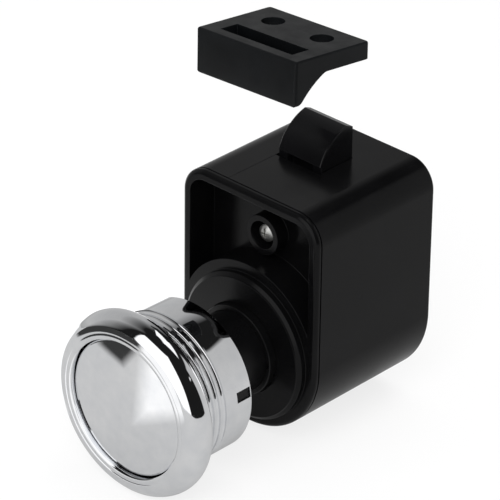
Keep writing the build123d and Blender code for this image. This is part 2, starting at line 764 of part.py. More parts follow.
# Cover screws: three alike, driven in from the left
with BuildPart() as cover_screws:
    with BuildSketch(side_plane(cover_screw_seat)):
        with Locations(*screw_spots()):
            Circle(cover_screw_head)
    extrude(amount=-head_height)
    with BuildSketch(side_plane(cover_screw_seat)):
        with Locations(*screw_spots()):
            Circle(cover_screw_radius)
    extrude(amount=cover_screw_length)
    with BuildSketch(side_plane(cover_screw_seat - head_height)):
        with Locations(*screw_spots()):
            Rectangle(cover_screw_cross, cross_width)
            Rectangle(cross_width, cover_screw_cross)
    extrude(amount=recess_depth, mode=Mode.SUBTRACT)
cover_screws.part.label = "cover_screws"
export_step(cover_screws.part, "parts/cover_screws.step")

# Plate screw: domed head at the bottom of the boss in the pocket
with BuildPart() as plate_screw:
    with BuildSketch(front_plane(pocket_depth)):
        with Locations((0, plate_screw_z)):
            Circle(plate_screw_head)
    extrude(amount=head_height)
    fillet(plate_screw.edges().group_by(Axis.Y)[0], plate_screw_dome)
    with BuildSketch(front_plane(pocket_depth)):
        with Locations((0, plate_screw_z)):
            Circle(cover_screw_radius)
    extrude(amount=-plate_screw_length)
    with BuildSketch(front_plane(pocket_depth - head_height)):
        with Locations((0, plate_screw_z)):
            Rectangle(plate_screw_cross, cross_width)
            Rectangle(cross_width, plate_screw_cross)
    extrude(amount=-recess_depth, mode=Mode.SUBTRACT)
plate_screw.part.label = "plate_screw"
export_step(plate_screw.part, "parts/plate_screw.step")

# Keeper: plate with a hollow lip for the bolt, a pocket on top and two screw holes
keeper_frame = Plane(Location(keeper_place, keeper_lean))
keeper_left = keeper_frame.from_local_coords((-keeper_width / 2, 0, 0))
keeper_side = Plane(keeper_left, keeper_frame.y_dir, keeper_frame.x_dir)
keeper_face = Plane(keeper_frame.origin, keeper_frame.x_dir, -keeper_frame.y_dir)
with BuildPart() as keeper:
    with BuildSketch(keeper_side) as section:
        with BuildLine():
            ThreePointArc((0, 0), (-keeper_bulge, -keeper_drop / 2), (0, -keeper_drop))
            Line((0, -keeper_drop), (lip_tip, -keeper_drop))
            ThreePointArc((lip_tip, -keeper_drop), lip_hollow, (lip_root, -keeper_plate))
            Polyline((lip_root, -keeper_plate), (keeper_depth, -keeper_plate), (keeper_depth, 0), (0, 0))
        make_face()
        fillet(section.vertices().group_by(Axis.Y)[0], lip_edge)
        fillet(section.vertices().sort_by_distance((lip_root, -keeper_plate))[0], lip_blend)
        fillet(section.vertices().sort_by_distance((keeper_depth, -keeper_plate))[0], keeper_back_edge)
    extrude(amount=keeper_width)
    with BuildSketch(keeper_frame):
        with Locations((0, (keeper_depth - keeper_bulge) / 2)):
            RectangleRounded(keeper_width, keeper_depth + keeper_bulge, keeper_corner)
    extrude(amount=-2 * keeper_drop, mode=Mode.INTERSECT)
    with BuildSketch(keeper_face) as front_view:
        Rectangle(keeper_width, 2 * keeper_drop)
        fillet(front_view.vertices().group_by(Axis.Y)[0], lip_corner)
    extrude(amount=2 * keeper_depth, both=True, mode=Mode.INTERSECT)
    fillet(keeper.faces().sort_by(Axis(keeper_frame.origin, keeper_frame.z_dir))[-1].edges(), keeper_edge)
    with BuildSketch(keeper_side.offset(keeper_width / 2 - keeper_pocket_length / 2)):
        with BuildLine():
            Polyline((keeper_pocket_front, 1), (keeper_pocket_back, 1),
                     (keeper_pocket_back, -keeper_pocket_back_drop),
                     (keeper_pocket_front, -keeper_pocket_front_drop), close=True)
        make_face()
    extrude(amount=keeper_pocket_length, mode=Mode.SUBTRACT)
    with BuildSketch(keeper_frame):
        with Locations((-keeper_hole_spacing / 2, keeper_depth - keeper_hole_inset),
                       (keeper_hole_spacing / 2, keeper_depth - keeper_hole_inset)):
            Circle(keeper_hole)
    extrude(amount=-keeper_drop, mode=Mode.SUBTRACT)
keeper.part.label = "keeper"
export_step(keeper.part, "parts/keeper.step")
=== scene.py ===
import math

import bmesh
import bpy
from mathutils import Matrix, Vector


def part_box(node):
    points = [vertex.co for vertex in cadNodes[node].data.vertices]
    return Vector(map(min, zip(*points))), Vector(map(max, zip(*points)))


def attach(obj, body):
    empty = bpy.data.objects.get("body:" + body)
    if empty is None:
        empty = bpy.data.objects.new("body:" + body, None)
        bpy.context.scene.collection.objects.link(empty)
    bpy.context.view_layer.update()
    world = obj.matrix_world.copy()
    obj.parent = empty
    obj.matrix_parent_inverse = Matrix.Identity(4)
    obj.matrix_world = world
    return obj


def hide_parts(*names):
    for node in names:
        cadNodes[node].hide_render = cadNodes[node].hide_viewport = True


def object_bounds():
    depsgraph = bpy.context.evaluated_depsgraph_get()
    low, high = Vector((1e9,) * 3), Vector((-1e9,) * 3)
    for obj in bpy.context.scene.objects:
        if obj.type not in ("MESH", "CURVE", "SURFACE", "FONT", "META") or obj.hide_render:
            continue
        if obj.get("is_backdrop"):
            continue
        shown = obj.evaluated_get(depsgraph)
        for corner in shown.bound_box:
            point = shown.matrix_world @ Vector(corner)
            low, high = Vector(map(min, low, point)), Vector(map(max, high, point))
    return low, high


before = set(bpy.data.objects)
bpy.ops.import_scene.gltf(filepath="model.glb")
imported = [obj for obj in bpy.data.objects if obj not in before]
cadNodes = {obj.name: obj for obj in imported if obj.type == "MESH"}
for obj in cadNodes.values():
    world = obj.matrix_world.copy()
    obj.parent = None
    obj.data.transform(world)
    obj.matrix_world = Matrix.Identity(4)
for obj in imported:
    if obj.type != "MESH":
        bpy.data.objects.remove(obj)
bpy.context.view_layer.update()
mm = 0.001
print("frame loaded:", len(cadNodes), "nodes")


# outlines are drawn in millimetres
def arcPoints(centre, radius, start, end, steps):
    points = []
    for k in range(steps + 1):
        a = math.radians(start + (end - start) * k / steps)
        points.append((centre[0] + radius * math.cos(a), centre[1] + radius * math.sin(a)))
    return points


def rounded(corners, steps):
    # corners are (u, v, radius) round a closed outline; a radius of 0 stays sharp, and no bend takes more
    # than half of a side
    points = []
    for i, (u, v, radius) in enumerate(corners):
        here = Vector((u, v))
        before = Vector(corners[i - 1][:2]) - here
        after = Vector(corners[(i + 1) % len(corners)][:2]) - here
        if radius <= 0 or before.length < 1e-6 or after.length < 1e-6:
            points.append((u, v))
            continue
        half = before.angle(after) / 2
        reach = min(radius / math.tan(half), 0.49 * before.length, 0.49 * after.length)
        bend = reach * math.tan(half)
        middle = here + (before.normalized() + after.normalized()).normalized() * (bend / math.sin(half))
        first = here + before.normalized() * reach - middle
        last = here + after.normalized() * reach - middle
        a = math.atan2(first.y, first.x)
        turn = (math.atan2(last.y, last.x) - a + math.pi) % (2 * math.pi) - math.pi
        for k in range(steps + 1):
            b = a + turn * k / steps
            points.append((middle.x + bend * math.cos(b), middle.y + bend * math.sin(b)))
    return points


def flowing(points, firstWay, lastWay, steps):
    # smooth line through the points, leaving and arriving along the given directions
    ways = [Vector(firstWay).normalized() * (Vector(points[1]) - Vector(points[0])).length]
    for i in range(1, len(points) - 1):
        ways.append((Vector(points[i + 1]) - Vector(points[i - 1])) / 2)
    ways.append(Vector(lastWay).normalized() * (Vector(points[-1]) - Vector(points[-2])).length)
    line = []
    for i in range(len(points) - 1):
        p, q, m, n = Vector(points[i]), Vector(points[i + 1]), ways[i], ways[i + 1]
        for k in range(steps):
            t = k / steps
            line.append(tuple(p * (2 * t**3 - 3 * t**2 + 1) + m * (t**3 - 2 * t**2 + t)
                              + q * (3 * t**2 - 2 * t**3) + n * (t**3 - t**2)))
    line.append(tuple(points[-1]))
    return line


# edges that turn by more than this many degrees stay sharp
smoothAngles = {"moulded": 32, "turned": 40, "screws": 30}


def shade(piece, kind):
    piece.data.polygons.foreach_set("use_smooth", [True] * len(piece.data.polygons))
    piece.data.set_sharp_from_angle(angle=math.radians(smoothAngles[kind]))


def startPiece(name, points):
    # a mesh object of points in millimetres, for a node tree to work on
    data = bpy.data.meshes.new(name)
    data.from_pydata([tuple(c * mm for c in point) for point in points], [], [])
    piece = bpy.data.objects.new(name, data)
    bpy.context.scene.collection.objects.link(piece)
    return piece


def placePiece(piece, body, node):
    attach(piece, body)
    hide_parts(node)


# how the moulded copies are joined up and their edges broken; angles in degrees
softening = {"weld": 0.002 * mm, "flatAngle": 0.4, "edgeAngle": 28, "segments": 3, "flatWeight": 100}


def weldedMesh(node):
    # the CAD node's loose triangles, joined along their edges
    mesh = bmesh.new()
    mesh.from_mesh(cadNodes[node].data)
    bmesh.ops.remove_doubles(mesh, verts=mesh.verts, dist=softening["weld"])
    return mesh


def softenedCopy(node, look):
    # a welded copy of a CAD node with its sharp edges broken
    mesh = weldedMesh(node)
    if "reshape" in look:
        look["reshape"](mesh)
    flat = math.radians(softening["flatAngle"])
    bmesh.ops.dissolve_limit(mesh, angle_limit=flat, verts=mesh.verts, edges=mesh.edges)
    data = bpy.data.meshes.new(node + "_moulded")
    mesh.to_mesh(data)
    mesh.free()
    piece = bpy.data.objects.new(node + "_moulded", data)
    bpy.context.scene.collection.objects.link(piece)
    data.materials.append(look["material"])
    shade(piece, "moulded")
    edge = piece.modifiers.new("edge", "BEVEL")
    edge.width = look["edge"] * mm
    edge.segments = softening["segments"]
    edge.limit_method = "ANGLE"
    edge.angle_limit = math.radians(softening["edgeAngle"])
    edge.use_clamp_overlap = True
    # large faces stay flat in the reflections
    steady = piece.modifiers.new("steady", "WEIGHTED_NORMAL")
    steady.mode = "FACE_AREA"
    steady.weight = softening["flatWeight"]
    steady.keep_sharp = True
    placePiece(piece, look["body"], node)


def newMaterial(name):
    material = bpy.data.materials.new(name)
    material.use_nodes = True
    nodes, links = material.node_tree.nodes, material.node_tree.links
    shader = nodes["Principled BSDF"]
    place = nodes.new("ShaderNodeTexCoord")
    return material, nodes, links, shader, place


def addNoise(nodes, links, place, scale, detail, roughness=0.5, stretch=None):
    noise = nodes.new("ShaderNodeTexNoise")
    noise.inputs["Scale"].default_value = scale
    noise.inputs["Detail"].default_value = detail
    noise.inputs["Roughness"].default_value = roughness
    if stretch:
        turn = nodes.new("ShaderNodeMapping")
        turn.inputs["Scale"].default_value = stretch
        links.new(place.outputs["Object"], turn.inputs["Vector"])
        links.new(turn.outputs["Vector"], noise.inputs["Vector"])
    else:
        links.new(place.outputs["Object"], noise.inputs["Vector"])
    return noise


def spread(nodes, links, source, low, high, fromLow=0.3, fromHigh=0.7):
    remap = nodes.new("ShaderNodeMapRange")
    remap.inputs["From Min"].default_value = fromLow
    remap.inputs["From Max"].default_value = fromHigh
    remap.inputs["To Min"].default_value = low
    remap.inputs["To Max"].default_value = high
    links.new(source, remap.inputs["Value"])
    return remap.outputs["Result"]


def addBump(nodes, links, shader, height, strength, distance, edge=0.0):
    # with an edge width, edges look rounded off by it
    bump = nodes.new("ShaderNodeBump")
    bump.inputs["Strength"].default_value = strength
    bump.inputs["Distance"].default_value = distance
    links.new(height, bump.inputs["Height"])
    if edge:
        soften = nodes.new("ShaderNodeBevel")
        soften.samples = bevelSamples
        soften.inputs["Radius"].default_value = edge
        links.new(soften.outputs["Normal"], bump.inputs["Normal"])
    links.new(bump.outputs["Normal"], shader.inputs["Normal"])


# flow, patches and chips are noise scales, a band is the range of a value that counts
bevelSamples = 4
edgeWearAndHighlightPattern = {"turnBand": (0.86, 0.995), "chips": 420, "chipShare": (0.15, 1), "chipBand": (0.4, 0.62)}
plasticPattern = {"flow": 60, "flowLift": 1.7, "flowBand": (0.42, 0.72), "patches": 190,
                  "grainStrength": 0.35}


def edgeWearAndHighlight(nodes, links, place, radius, strength):
    # edges painted paler, part rubbed wear and part painted highlight: 0 on open faces, up to strength where
    # an edge turns, broken up by noise
    soften = nodes.new("ShaderNodeBevel")
    soften.samples = bevelSamples
    soften.inputs["Radius"].default_value = radius
    surface = nodes.new("ShaderNodeNewGeometry")
    turn = nodes.new("ShaderNodeVectorMath")
    turn.operation = "DOT_PRODUCT"
    links.new(soften.outputs["Normal"], turn.inputs[0])
    links.new(surface.outputs["Normal"], turn.inputs[1])
    wornAndHighlight = spread(nodes, links, turn.outputs["Value"], strength, 0, *edgeWearAndHighlightPattern["turnBand"])
    chips = addNoise(nodes, links, place, edgeWearAndHighlightPattern["chips"], detail=4, roughness=0.65)
    chipped = spread(nodes, links, chips.outputs["Fac"], *edgeWearAndHighlightPattern["chipShare"], *edgeWearAndHighlightPattern["chipBand"])
    broken = nodes.new("ShaderNodeMath")
    broken.operation = "MULTIPLY"
    links.new(wornAndHighlight, broken.inputs[0])
    links.new(chipped, broken.inputs[1])
    return broken.outputs["Value"]


def mixColours(nodes, links, share, one, two):
    # from the first colour, which may come from a socket, to the second by the share
    mix = nodes.new("ShaderNodeMixRGB")
    mix.inputs["Color2"].default_value = (*two, 1)
    if isinstance(one, tuple):
        mix.inputs["Color1"].default_value = (*one, 1)
    else:
        links.new(one, mix.inputs["Color1"])
    links.new(share, mix.inputs["Fac"])
    return mix.outputs["Color"]


def mouldedPlastic(name, finish):
    # dark moulded plastic: faint flow in the colour, uneven gloss, fine grain, edges painted paler as rubbed
    # wear and a painted highlight
    material, nodes, links, shader, place = newMaterial(name)
    flow = addNoise(nodes, links, place, plasticPattern["flow"], detail=4)
    share = spread(nodes, links, flow.outputs["Fac"], 0, 1, *plasticPattern["flowBand"])
    lighter = tuple(plasticPattern["flowLift"] * c for c in finish["colour"])
    streaky = mixColours(nodes, links, share, finish["colour"], lighter)
    wornAndHighlight = edgeWearAndHighlight(nodes, links, place, finish["edge"], finish["wearAndHighlight"])
    links.new(mixColours(nodes, links, wornAndHighlight, streaky, finish["wornAndHighlightColour"]), shader.inputs["Base Color"])
    patches = addNoise(nodes, links, place, plasticPattern["patches"], detail=5, roughness=0.62)
    links.new(spread(nodes, links, patches.outputs["Fac"], *finish["roughness"]), shader.inputs["Roughness"])
    fine = addNoise(nodes, links, place, finish["grain"], detail=2)
    addBump(nodes, links, shader, fine.outputs["Fac"], plasticPattern["grainStrength"], finish["grainDepth"])
    shader.inputs["Specular IOR Level"].default_value = finish["sheen"]
    return material


plating = {"colours": ((0.80, 0.81, 0.83), (0.88, 0.885, 0.895)), "roughness": (0.03, 0.055), "haze": 240,
           "wave": 110, "waveStrength": 0.04, "waveDepth": 0.00006}


def chromePlate(name):
    # bright plating over a polished casting: slight waviness and faint polishing haze
    material, nodes, links, shader, place = newMaterial(name)
    shader.inputs["Metallic"].default_value = 1.0
    haze = addNoise(nodes, links, place, plating["haze"], detail=4).outputs["Fac"]
    links.new(mixColours(nodes, links, spread(nodes, links, haze, 0, 1), *plating["colours"]),
              shader.inputs["Base Color"])
    links.new(spread(nodes, links, haze, *plating["roughness"]), shader.inputs["Roughness"])
    wave = addNoise(nodes, links, place, plating["wave"], detail=1)
    addBump(nodes, links, shader, wave.outputs["Fac"], plating["waveStrength"], plating["waveDepth"])
    return material


steels = {
    "turnedSteel": {"colour": (0.62, 0.61, 0.59), "roughness": (0.22, 0.38), "stretch": (1, 14, 1)},
    "springSteel": {"colour": (0.52, 0.52, 0.53), "roughness": (0.25, 0.4), "stretch": (1, 1, 1)},
    "zincSteel": {"colour": (0.64, 0.64, 0.62), "roughness": (0.3, 0.45), "stretch": (1, 1, 1)},
}
toolLines = {"scale": 900, "strength": 0.25, "depth": 0.00002}


def machinedSteel(name):
    # fine tool lines, drawn out along the part by the stretch
    finish = steels[name]
    material, nodes, links, shader, place = newMaterial(name)
    shader.inputs["Metallic"].default_value = 1.0
    shader.inputs["Base Color"].default_value = (*finish["colour"], 1)
    lines = addNoise(nodes, links, place, toolLines["scale"], detail=3, roughness=0.6,
                     stretch=finish["stretch"])
    links.new(spread(nodes, links, lines.outputs["Fac"], *finish["roughness"]), shader.inputs["Roughness"])
    addBump(nodes, links, shader, lines.outputs["Fac"], toolLines["strength"], toolLines["depth"])
    return material


resinMix = {"colours": ((0.78, 0.76, 0.69), (0.84, 0.83, 0.78)), "roughness": (0.38, 0.52), "cloud": 140,
            "grain": 2600, "grainStrength": 0.3, "grainDepth": 0.00002, "edge": 0.0001,
            "glow": 0.12, "glowReach": (0.0012, 0.001, 0.0008)}


def paleResin(name):
    # unpainted resin: cloudy, a little see-through, with a fine moulded grain
    material, nodes, links, shader, place = newMaterial(name)
    cloud = addNoise(nodes, links, place, resinMix["cloud"], detail=4).outputs["Fac"]
    links.new(mixColours(nodes, links, spread(nodes, links, cloud, 0, 1), *resinMix["colours"]),
              shader.inputs["Base Color"])
    links.new(spread(nodes, links, cloud, *resinMix["roughness"]), shader.inputs["Roughness"])
    fine = addNoise(nodes, links, place, resinMix["grain"], detail=2)
    addBump(nodes, links, shader, fine.outputs["Fac"], resinMix["grainStrength"], resinMix["grainDepth"],
            resinMix["edge"])
    shader.inputs["Subsurface Weight"].default_value = resinMix["glow"]
    shader.inputs["Subsurface Radius"].default_value = resinMix["glowReach"]
    return material


# each finish's edge strength and edge colour paint its edges paler: rubbed wear and a painted highlight along
# them
finishes = {
    "housing": {"colour": (0.0024, 0.0024, 0.0026), "roughness": (0.17, 0.26), "sheen": 0.14, "grain": 1500,
                "grainDepth": 0.00001, "edge": 0.00025, "wearAndHighlight": 0.5, "wornAndHighlightColour": (0.022, 0.022, 0.024)},
    "bolt": {"colour": (0.0030, 0.0030, 0.0034), "roughness": (0.12, 0.2), "sheen": 0.24, "grain": 1500,
             "grainDepth": 0.000008, "edge": 0.00025, "wearAndHighlight": 0.6, "wornAndHighlightColour": (0.028, 0.028, 0.03)},
    "keeper": {"colour": (0.0030, 0.0034, 0.0039), "roughness": (0.34, 0.47), "sheen": 0.15, "grain": 1900,
               "grainDepth": 0.00003, "edge": 0.0003, "wearAndHighlight": 0.5, "wornAndHighlightColour": (0.03, 0.033, 0.036)},
    "core": {"colour": (0.0026, 0.0026, 0.0028), "roughness": (0.24, 0.36), "sheen": 0.2, "grain": 1700,
             "grainDepth": 0.00002, "edge": 0.0002, "wearAndHighlight": 0.4, "wornAndHighlightColour": (0.022, 0.022, 0.022)},
    "rubber": {"colour": (0.009, 0.009, 0.009), "roughness": (0.62, 0.8), "sheen": 0.4, "grain": 2200,
               "grainDepth": 0.00005, "edge": 0.0002, "wearAndHighlight": 0.3, "wornAndHighlightColour": (0.03, 0.03, 0.03)},
}
housingBlack = mouldedPlastic("housingBlack", finishes["housing"])
boltBlack = mouldedPlastic("boltBlack", finishes["bolt"])
keeperBlack = mouldedPlastic("keeperBlack", finishes["keeper"])
coreBlack = mouldedPlastic("coreBlack", finishes["core"])
rubber = mouldedPlastic("sealRubber", finishes["rubber"])
chrome = chromePlate("chromePlate")
turnedSteel = machinedSteel("turnedSteel")
springSteel = machinedSteel("springSteel")
zincSteel = machinedSteel("zincSteel")
resin = paleResin("naturalResin")
print("materials ready")


# how near points count as one, and as lying on the barrel
sealDistance = 0.001 * mm
barrelNear = 0.01 * mm


def newTree(name, sizes):
    # a node tree with one geometry in and out and a named input for each size
    tree = bpy.data.node_groups.new(name, "GeometryNodeTree")
    tree.interface.new_socket(name="Geometry", in_out="INPUT", socket_type="NodeSocketGeometry")
    for label, value in sizes.items():
        kind = {tuple: "NodeSocketVector", int: "NodeSocketInt", float: "NodeSocketFloat"}[type(value)]
        socket = tree.interface.new_socket(name=label, in_out="INPUT", socket_type=kind)
        socket.default_value = value
    tree.interface.new_socket(name="Geometry", in_out="OUTPUT", socket_type="NodeSocketGeometry")
    return tree, tree.nodes.new("NodeGroupInput"), tree.nodes.new("NodeGroupOutput")


def nodeMath(tree, operation, one, two=0):
    # a maths node fed by sockets or plain numbers
    node = tree.nodes.new("ShaderNodeMath")
    node.operation = operation
    for slot, value in ((0, one), (1, two)):
        if isinstance(value, (int, float)):
            node.inputs[slot].default_value = value
        else:
            tree.links.new(value, node.inputs[slot])
    return node.outputs[0]


def joinXyz(tree, x, y, z):
    node = tree.nodes.new("ShaderNodeCombineXYZ")
    for slot, value in enumerate((x, y, z)):
        if isinstance(value, (int, float)):
            node.inputs[slot].default_value = value
        else:
            tree.links.new(value, node.inputs[slot])
    return node.outputs[0]


def bakeNodes(piece, tree, sizes):
    # run the tree on the piece and keep the result as its plain mesh
    modifier = piece.modifiers.new("maker", "NODES")
    modifier.node_group = tree
    for item in tree.interface.items_tree:
        if item.item_type == "SOCKET" and item.in_out == "INPUT" and item.name in sizes:
            modifier[item.identifier] = sizes[item.name]
    depsgraph = bpy.context.evaluated_depsgraph_get()
    data = bpy.data.meshes.new_from_object(piece.evaluated_get(depsgraph), depsgraph=depsgraph)
    piece.modifiers.clear()
    piece.data = data


def finishTree(tree, result, geometry, material):
    real = tree.nodes.new("GeometryNodeRealizeInstances")
    coat = tree.nodes.new("GeometryNodeSetMaterial")
    coat.inputs["Material"].default_value = material
    tree.links.new(geometry, real.inputs["Geometry"])
    tree.links.new(real.outputs["Geometry"], coat.inputs["Geometry"])
    tree.links.new(coat.outputs["Geometry"], result.inputs["Geometry"])


def eulerTurn(tree, angles):
    turn = tree.nodes.new("FunctionNodeEulerToRotation")
    tree.links.new(angles, turn.inputs["Euler"])
    return turn.outputs["Rotation"]


def movedMesh(tree, mesh, place, turn=None):
    node = tree.nodes.new("GeometryNodeTransform")
    tree.links.new(mesh, node.inputs["Geometry"])
    tree.links.new(place, node.inputs["Translation"])
    if turn is not None:
        tree.links.new(turn, node.inputs["Rotation"])
    return node.outputs["Geometry"]


def cutBar(tree, mesh, size, place, turn=None):
    # takes a bar out of the mesh, with the solver that leaves it closed
    bar = tree.nodes.new("GeometryNodeMeshCube")
    tree.links.new(size, bar.inputs["Size"])
    cut = tree.nodes.new("GeometryNodeMeshBoolean")
    cut.operation = "DIFFERENCE"
    cut.solver = "MANIFOLD"
    tree.links.new(mesh, cut.inputs["Mesh 1"])
    tree.links.new(movedMesh(tree, bar.outputs["Mesh"], place, turn), cut.inputs["Mesh 2"])
    return cut.outputs["Mesh"]


def sealMesh(tree, mesh):
    # joins points that lie on one another
    sealed = tree.nodes.new("GeometryNodeMergeByDistance")
    sealed.inputs["Distance"].default_value = sealDistance
    tree.links.new(mesh, sealed.inputs["Geometry"])
    return sealed.outputs["Geometry"]


def grooveCut(tree, size, radius, along):
    # how deep the nearest round groove cuts at a point of the barrel; 0 beside the grooves and off the barrel
    past = nodeMath(tree, "SUBTRACT", along, size["Groove Start"])
    number = nodeMath(tree, "ROUND", nodeMath(tree, "DIVIDE", past, size["Groove Pitch"]))
    last = nodeMath(tree, "SUBTRACT", size["Grooves"], 1)
    nearest = nodeMath(tree, "MINIMUM", nodeMath(tree, "MAXIMUM", number), last)
    shift = nodeMath(tree, "MULTIPLY", nearest, size["Groove Pitch"])
    middle = nodeMath(tree, "ADD", size["Groove Start"], shift)
    offset = nodeMath(tree, "SUBTRACT", along, middle)
    square = nodeMath(tree, "SUBTRACT", nodeMath(tree, "POWER", size["Groove Radius"], 2),
                      nodeMath(tree, "MULTIPLY", offset, offset))
    depth = nodeMath(tree, "SQRT", nodeMath(tree, "MAXIMUM", square))
    onBarrel = nodeMath(tree, "COMPARE", radius, size["Barrel Radius"])
    onBarrel.node.inputs[2].default_value = barrelNear
    return nodeMath(tree, "MULTIPLY", depth, onBarrel)


def turningTree(name, sizes, material, grooved):
    # turns the profile, with the radius in x and the length in y, round the y axis
    tree, given, result = newTree(name, sizes)
    links = tree.links
    size = given.outputs
    counted = tree.nodes.new("GeometryNodeAttributeDomainSize")
    links.new(size["Geometry"], counted.inputs["Geometry"])
    points = counted.outputs["Point Count"]
    rows = nodeMath(tree, "ADD", points, size["Closed"])
    sheet = tree.nodes.new("GeometryNodeMeshGrid")
    links.new(nodeMath(tree, "ADD", size["Steps"], 1), sheet.inputs["Vertices X"])
    links.new(rows, sheet.inputs["Vertices Y"])

    # grid vertex number = step * rows + place on the profile
    number = tree.nodes.new("GeometryNodeInputIndex").outputs["Index"]
    step = nodeMath(tree, "FLOOR", nodeMath(tree, "DIVIDE", number, rows))
    spot = nodeMath(tree, "MODULO", nodeMath(tree, "MODULO", number, rows), points)
    lookUp = tree.nodes.new("GeometryNodeSampleIndex")
    lookUp.data_type = "FLOAT_VECTOR"
    links.new(size["Geometry"], lookUp.inputs["Geometry"])
    links.new(tree.nodes.new("GeometryNodeInputPosition").outputs["Position"], lookUp.inputs["Value"])
    links.new(spot, lookUp.inputs["Index"])
    parts = tree.nodes.new("ShaderNodeSeparateXYZ")
    links.new(lookUp.outputs["Value"], parts.inputs["Vector"])
    radius, along = parts.outputs["X"], parts.outputs["Y"]
    if grooved:
        radius = nodeMath(tree, "SUBTRACT", radius, grooveCut(tree, size, radius, along))
    angle = nodeMath(tree, "MULTIPLY", nodeMath(tree, "DIVIDE", step, size["Steps"]), 2 * math.pi)
    x = nodeMath(tree, "MULTIPLY", radius, nodeMath(tree, "COSINE", angle))
    z = nodeMath(tree, "MULTIPLY", radius, nodeMath(tree, "SINE", angle))
    wrapped = tree.nodes.new("GeometryNodeSetPosition")
    links.new(sheet.outputs["Mesh"], wrapped.inputs["Geometry"])
    links.new(joinXyz(tree, x, along, z), wrapped.inputs["Position"])
    outward = tree.nodes.new("GeometryNodeFlipFaces")
    links.new(sealMesh(tree, wrapped.outputs["Geometry"]), outward.inputs["Mesh"])
    turned = outward.outputs["Mesh"]
    if grooved:
        # one bar, three radii long, lies across the barrel and cuts both windows
        length = nodeMath(tree, "SUBTRACT", size["Window Back"], size["Window Front"])
        reach = nodeMath(tree, "MULTIPLY", size["Barrel Radius"], 3)
        bar = joinXyz(tree, reach, length, size["Window Width"])
        middle = nodeMath(tree, "ADD", size["Window Front"], nodeMath(tree, "MULTIPLY", length, 0.5))
        angle = nodeMath(tree, "MULTIPLY", size["Window Turn"], -1)
        turn = eulerTurn(tree, joinXyz(tree, 0, angle, 0))
        turned = cutBar(tree, turned, bar, joinXyz(tree, 0, middle, 0), turn)
    finishTree(tree, result, turned, material)
    return tree


def makeTurned(name, profile, tree, sizes, body, node):
    # profile points are (radius, length) in millimetres
    piece = startPiece(name, [(radius, along, 0) for radius, along in profile])
    bakeNodes(piece, tree, sizes)
    shade(piece, "turned")
    placePiece(piece, body, node)


rosetteSizes = {
    "bore": 16.92, "barrelBack": -17.4, "chamfer": 0.45, "seat": -33.4, "front": -40.35, "flangeRadius": 22.6,
    "beadWidth": 1.43, "beadInner": 0.34, "beadCrest": 0.07, "beadOuter": 0.13,
    "beadWays": ((-1, -0.3), (-1, 0.7)),
    "plainPart": -26, "boreStop": -36, "boreBend": 0.25, "endBend": 0.2, "seatStop": 19.8,
    "grooveZone": 8.4, "zoneOffset": 0.3, "zoneStep": 0.08, "root": [(0.03, 0.12), (0.14, 0)],
    "curveWays": ((1, -0.35), (-1, 0.06)),
    "curve": [(0.36, 0), (0.06, 0.17), (0, 0.45), (0.18, 0.75), (0.5, 0.94), (0.74, 0.99), (0.95, 1)],
}
rosetteInputs = {
    "Steps": 240, "Closed": 1, "Barrel Radius": 18.4 * mm, "Grooves": 4, "Groove Radius": 0.62 * mm,
    "Groove Pitch": 1.9 * mm, "Groove Start": -32.25 * mm, "Window Turn": math.radians(9.2),
    "Window Width": 2.6 * mm, "Window Front": -22.3 * mm, "Window Back": -18.1 * mm,
}


def rosetteProfile(s):
    # from the bead back along the bore, round the barrel's end, forward over the barrel and round the flange
    barrel = rosetteInputs["Barrel Radius"] / mm
    width = s["flangeRadius"] - barrel
    height = s["seat"] - s["front"]
    bore = s["bore"]
    beadInner = (bore, s["front"] + s["beadInner"])
    beadTop = (bore + s["beadWidth"] / 2, s["front"] + s["beadCrest"])
    beadOuter = (bore + s["beadWidth"], s["front"] + s["beadOuter"])
    plain = s["plainPart"]
    back = s["barrelBack"]
    profile = [beadInner, (bore, s["boreStop"]), (bore, plain)]
    profile += rounded([(bore, plain, 0), (bore, back, s["boreBend"]),
                        (barrel - s["chamfer"], back, s["endBend"]),
                        (barrel, back - s["chamfer"], s["endBend"]), (barrel, plain, 0)], steps=4)[1:-1]
    # close points over the grooved part, for the tree to move
    steps = round(s["grooveZone"] / s["zoneStep"])
    zoneFront = s["seat"] + s["zoneOffset"]
    profile += [(barrel, zoneFront + s["grooveZone"] * (1 - k / steps)) for k in range(steps + 1)]
    profile += [(barrel + out, s["seat"] + up) for out, up in s["root"]]
    profile.append((s["seatStop"], s["seat"]))
    curve = [(s["flangeRadius"] - width * a, s["seat"] - height * b) for a, b in s["curve"]]
    profile += flowing(curve, *s["curveWays"], steps=12)
    profile.append(beadOuter)
    profile += flowing([beadOuter, beadTop, beadInner], *s["beadWays"], steps=6)[1:-1]
    # the same way round as the button's, so that the faces point outwards
    profile.reverse()
    return profile


rosetteMaker = turningTree("rosetteMaker", rosetteInputs, chrome, True)
makeTurned("rosette_plated", rosetteProfile(rosetteSizes), rosetteMaker, rosetteInputs, "latch_body",
           "rosette")
print("rosette made")


buttonSizes = {
    "radius": 16.7, "front": -39.75, "crown": 0.5, "edge": 0.6, "wall": 1.35, "skirt": 12.65, "domeSteps": 24,
    "edgeStart": -84, "edgeSteps": 10, "sideStop": 3, "endBend": 0.25, "floorBend": 0.3,
}
buttonInputs = {"Steps": 240, "Closed": 0}


